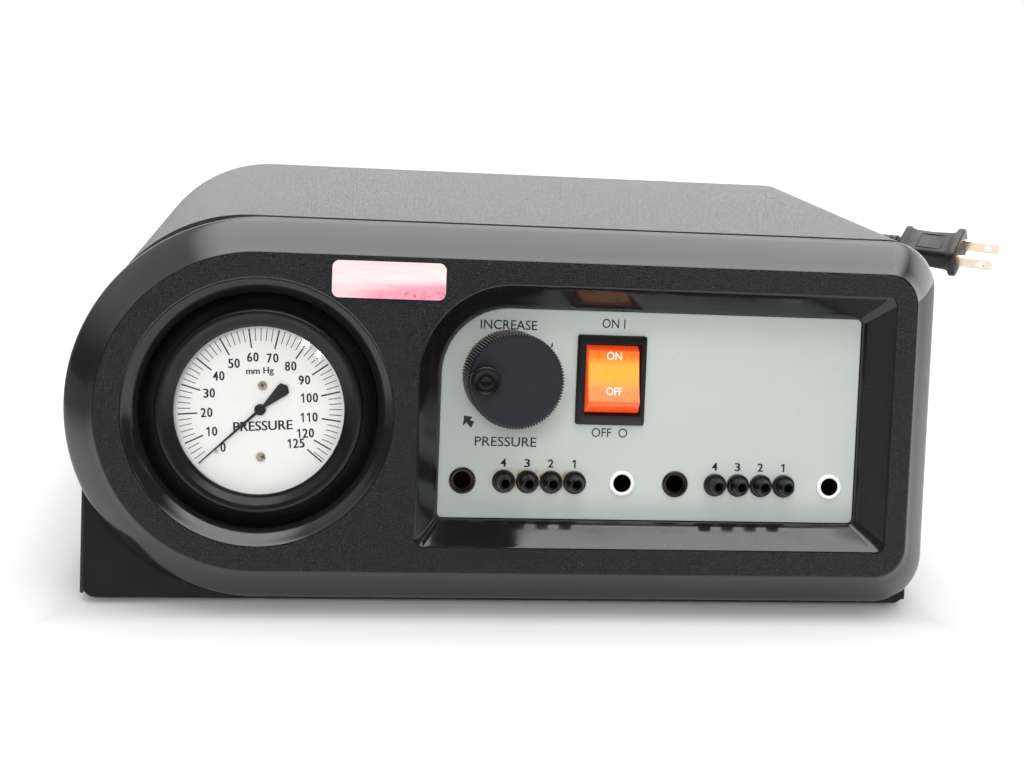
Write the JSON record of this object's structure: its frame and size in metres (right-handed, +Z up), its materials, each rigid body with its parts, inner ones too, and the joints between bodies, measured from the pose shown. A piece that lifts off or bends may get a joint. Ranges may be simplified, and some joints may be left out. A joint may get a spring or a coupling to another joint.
{
  "type": "compression therapy pump",
  "caption": "Bench-top sequential compression pump with a round pressure gauge, knurled pressure knob, lit rocker switch and two rows of hose ports on a raked bezel.",
  "frame": {"origin": "on the surface the feet stand on, under the middle of the object without its cord", "axes": "+X to the right seen from the front, +Y to the back, +Z up; the front panel leans back 10.8 degrees"},
  "size_m": [0.4226, 0.288, 0.132],
  "materials": {
    "painted_case": "textured satin black",
    "bezel_abs": "gloss borders, leather grain on the flat face",
    "panel_grey": "satin light grey",
    "label_white": "matt",
    "rubber": "matt",
    "steel": "satin",
    "bright_steel": "polished",
    "black_plastic": "satin",
    "white_plastic": "satin",
    "natural_plastic": "satin",
    "brass": "satin",
    "lens": "clear",
    "dial_paint": "satin white",
    "pointer_black": "matt black",
    "orange_plastic": "lit translucent orange",
    "lamp_glass": "clear",
    "alloy": "cast",
    "cord_pvc": "satin PVC",
    "gilt": "bright",
    "tube_pvc": "clear PVC tube"
  },
  "bodies": {
    "pump": {"chassis_base": "painted_case", "top_cover": "painted_case", "front_bezel": "bezel_abs", "front_panel": "panel_grey", "blank_label": "label_white", "rubber_feet": "rubber", "bezel_screws": "steel", "cover_screws": "steel", "hose_ports_left": "black_plastic", "hose_ports_right": "black_plastic", "guide_sockets_black": "black_plastic", "guide_sockets_white": "white_plastic", "guide_sleeves": "brass", "port_manifold": "natural_plastic", "gauge_ring": "black_plastic", "gauge_case": "steel", "gauge_lens": "lens", "gauge_dial": "dial_paint", "gauge_dial_screws": "bright_steel", "gauge_movement": "brass", "gauge_capsule": "brass", "gauge_clamp": "steel", "regulator_bonnet": "alloy", "mounting_nuts": "brass", "regulator_diaphragm": "rubber", "regulator_body": "alloy", "regulator_spring": "steel", "switch_housing": "black_plastic", "switch_lamp": "lamp_glass", "switch_terminals": "brass", "valve_cover": "natural_plastic", "valve_body": "natural_plastic", "valve_bracket": "steel", "gear_motor": "steel", "compressor_housing": "alloy", "compressor_heads": "alloy", "compressor_mounts": "rubber", "compressor_springs": "steel", "air_hoses": "tube_pvc", "terminal_block": "natural_plastic", "fuse_holder": "black_plastic", "mains_wires": "cord_pvc", "cord_strain_relief": "cord_pvc", "power_cord": "cord_pvc", "cord_coil": "cord_pvc", "cord_tie": "black_plastic", "plug_body": "cord_pvc", "plug_blades": "gilt"},
    "knob": {"pressure_knob": "black_plastic", "knob_set_screw": "steel", "regulator_spindle": "steel"},
    "spinner": {"knob_spinner": "black_plastic"},
    "spring_seat": {"regulator_spring_seat": "brass"},
    "rocker": {"switch_rocker": "orange_plastic"},
    "needle": {"gauge_pointer": "pointer_black", "gauge_pinion": "brass"},
    "sector": {"gauge_sector": "brass"},
    "rotor": {"valve_rotor": "natural_plastic"},
    "armature": {"compressor_armature": "steel"}
  },
  "joints": [
    {"name": "knob_turn", "type": "hinge", "parent": "pump", "child": "knob", "pos_m": [-0.0036, -0.0661, 0.08203], "axis": [0, 0.9823, -0.1874], "range_deg": [-900, 900]},
    {"name": "spinner_turn", "type": "hinge", "parent": "knob", "child": "spinner", "pos_m": [-0.0141, -0.0936, 0.08728], "axis": [0, -0.9823, 0.1874], "continuous": true},
    {"name": "spring_seat_slide", "type": "slide", "parent": "pump", "child": "spring_seat", "axis": [0, 0.9823, -0.1874], "range_m": [-0.0025, 0.0025], "deforming": ["regulator_spring"]},
    {"name": "rocker_tilt", "type": "hinge", "parent": "pump", "child": "rocker", "pos_m": [0.03285, -0.06325, 0.08098], "axis": [1, 0, 0], "range_deg": [0, 24]},
    {"name": "needle_turn", "type": "hinge", "parent": "pump", "child": "needle", "pos_m": [-0.0876, -0.06872, 0.06828], "axis": [0, 0.9823, -0.1874], "range_deg": [0, 262.5], "stiffness_Nm_per_rad": 0.00002},
    {"name": "sector_swing", "type": "hinge", "parent": "pump", "child": "sector", "pos_m": [-0.0876, -0.06258, 0.05245], "axis": [0, 0.9823, -0.1874], "range_deg": [-37.5, 0]},
    {"name": "rotor_turn", "type": "hinge", "parent": "pump", "child": "rotor", "pos_m": [0.004, 0.0205, 0.042], "axis": [0, 1, 0], "continuous": true},
    {"name": "armature_slide", "type": "slide", "parent": "pump", "child": "armature", "axis": [1, 0, 0], "range_m": [-0.003, 0.003], "stiffness_N_per_m": 3000, "deforming": ["compressor_springs"]}
  ],
  "couplings": [
    {"joint": "spring_seat_slide", "follows": "knob_turn", "m_per_rad": 0.00015915},
    {"joint": "sector_swing", "follows": "needle_turn", "ratio": -0.14286}
  ]
}
